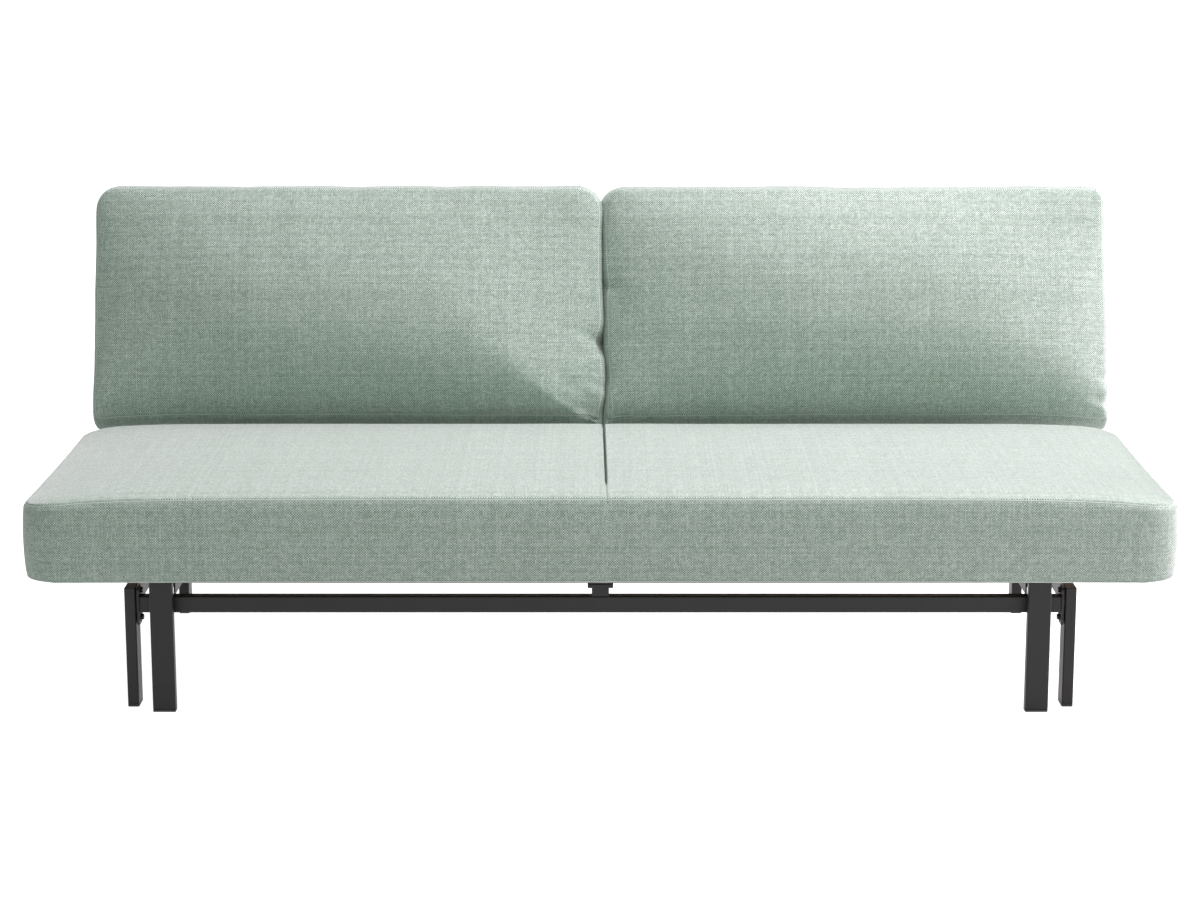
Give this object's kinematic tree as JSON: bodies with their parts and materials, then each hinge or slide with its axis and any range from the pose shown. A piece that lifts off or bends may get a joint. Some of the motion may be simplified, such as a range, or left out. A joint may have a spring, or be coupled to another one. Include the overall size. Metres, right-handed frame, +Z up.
{
  "type": "click clack sofa bed",
  "caption": "Armless sofa whose upholstered seat pulls forward on tracks and whose slatted back folds flat behind it on click-clack hinges to make a bed.",
  "frame": {"origin": "on the floor, below the middle of the whole object", "axes": "+X to the sitter's left, which is the viewer's right; +Y to the back; +Z up; the seat faces -Y"},
  "size_m": [2, 0.8472, 0.8349],
  "materials": {
    "sage_fabric": "woven melange, matte",
    "frame_coating": "anthracite powder coating, satin",
    "fitting_zinc": "zinc plated, satin",
    "black_nylon": "matte",
    "stop_rubber": "matte",
    "board_plywood": "sanded birch plywood",
    "slat_beech": "clear lacquer, satin"
  },
  "bodies": {
    "base": {"base_front_leg_left": "frame_coating", "base_front_leg_right": "frame_coating", "base_front_glide_left": "black_nylon", "base_front_glide_right": "black_nylon", "base_rear_leg_left": "frame_coating", "base_rear_leg_right": "frame_coating", "base_rear_glide_left": "black_nylon", "base_rear_glide_right": "black_nylon", "base_side_bar_left": "frame_coating", "base_side_bar_right": "frame_coating", "bed_stop_left": "stop_rubber", "bed_stop_right": "stop_rubber", "front_rail_end_plate_left": "frame_coating", "front_rail_end_plate_right": "frame_coating", "rear_rail_end_plate_left": "frame_coating", "rear_rail_end_plate_right": "frame_coating", "slide_track_left": "frame_coating", "slide_track_right": "frame_coating", "front_cross_rail": "frame_coating", "rear_cross_rail": "frame_coating", "centre_post": "frame_coating", "centre_glide_pad": "black_nylon"},
    "seat_carriage": {"pull_leg_left": "frame_coating", "pull_leg_right": "frame_coating", "pull_leg_glide_left": "black_nylon", "pull_leg_glide_right": "black_nylon", "carriage_side_bar_left": "frame_coating", "carriage_side_bar_right": "frame_coating", "hinge_fixed_plate_left": "fitting_zinc", "hinge_fixed_plate_right": "fitting_zinc", "hinge_pin_left": "fitting_zinc", "hinge_pin_right": "fitting_zinc", "pawl_spring_left": "fitting_zinc", "pawl_spring_right": "fitting_zinc", "carriage_front_bar": "frame_coating", "carriage_rear_bar": "frame_coating", "carriage_centre_bar": "frame_coating", "seat_board": "board_plywood", "seat_pad": "sage_fabric"},
    "folding_back": {"back_upright_left": "frame_coating", "back_upright_right": "frame_coating", "hinge_sector_left": "fitting_zinc", "hinge_sector_right": "fitting_zinc", "back_bottom_rail": "frame_coating", "back_top_rail": "frame_coating", "back_slat_1": "slat_beech", "back_slat_2": "slat_beech", "back_slat_3": "slat_beech", "back_slat_4": "slat_beech", "back_slat_5": "slat_beech", "back_slat_6": "slat_beech"},
    "cushion_left": {"back_cushion_left": "sage_fabric"},
    "cushion_right": {"back_cushion_right": "sage_fabric"},
    "pawl_left": {"hinge_pawl_left": "fitting_zinc"},
    "pawl_right": {"hinge_pawl_right": "fitting_zinc"},
    "front_roller_left": {"front_roller_left": "black_nylon"},
    "front_roller_right": {"front_roller_right": "black_nylon"},
    "rear_roller_left": {"rear_roller_left": "black_nylon"},
    "rear_roller_right": {"rear_roller_right": "black_nylon"}
  },
  "joints": [
    {"name": "seat_slide", "type": "slide", "parent": "base", "child": "seat_carriage", "axis": [0, -1, 0], "range_m": [0, 0.43]},
    {"name": "back_fold", "type": "hinge", "parent": "seat_carriage", "child": "folding_back", "pos_m": [0, 0.25637, 0.243], "axis": [-1, 0, 0], "range_deg": [0, 73]},
    {"name": "cushion_left_lift", "type": "slide", "parent": "folding_back", "child": "cushion_left", "axis": [0, 0.2924, 0.9563], "range_m": [0, 0.3]},
    {"name": "cushion_right_lift", "type": "slide", "parent": "folding_back", "child": "cushion_right", "axis": [0, 0.2924, 0.9563], "range_m": [0, 0.3]},
    {"name": "pawl_left_drop", "type": "hinge", "parent": "seat_carriage", "child": "pawl_left", "pos_m": [0, 0.20636, 0.265], "axis": [1, 0, 0], "range_deg": [0, 9]},
    {"name": "pawl_right_drop", "type": "hinge", "parent": "seat_carriage", "child": "pawl_right", "pos_m": [0, 0.20636, 0.265], "axis": [1, 0, 0], "range_deg": [0, 9]},
    {"name": "front_roller_left_spin", "type": "hinge", "parent": "seat_carriage", "child": "front_roller_left", "pos_m": [0, 0.16737, 0.214], "axis": [1, 0, 0], "range_deg": [0, 2840]},
    {"name": "front_roller_right_spin", "type": "hinge", "parent": "seat_carriage", "child": "front_roller_right", "pos_m": [0, 0.16737, 0.214], "axis": [1, 0, 0], "range_deg": [0, 2840]},
    {"name": "rear_roller_left_spin", "type": "hinge", "parent": "seat_carriage", "child": "rear_roller_left", "pos_m": [0, 0.23936, 0.214], "axis": [1, 0, 0], "range_deg": [0, 2840]},
    {"name": "rear_roller_right_spin", "type": "hinge", "parent": "seat_carriage", "child": "rear_roller_right", "pos_m": [0, 0.23936, 0.214], "axis": [1, 0, 0], "range_deg": [0, 2840]}
  ],
  "couplings": [
    {"joint": "front_roller_left_spin", "follows": "seat_slide", "rad_per_m": 114.94},
    {"joint": "front_roller_right_spin", "follows": "seat_slide", "rad_per_m": 114.94},
    {"joint": "rear_roller_left_spin", "follows": "seat_slide", "rad_per_m": 114.94},
    {"joint": "rear_roller_right_spin", "follows": "seat_slide", "rad_per_m": 114.94}
  ]
}
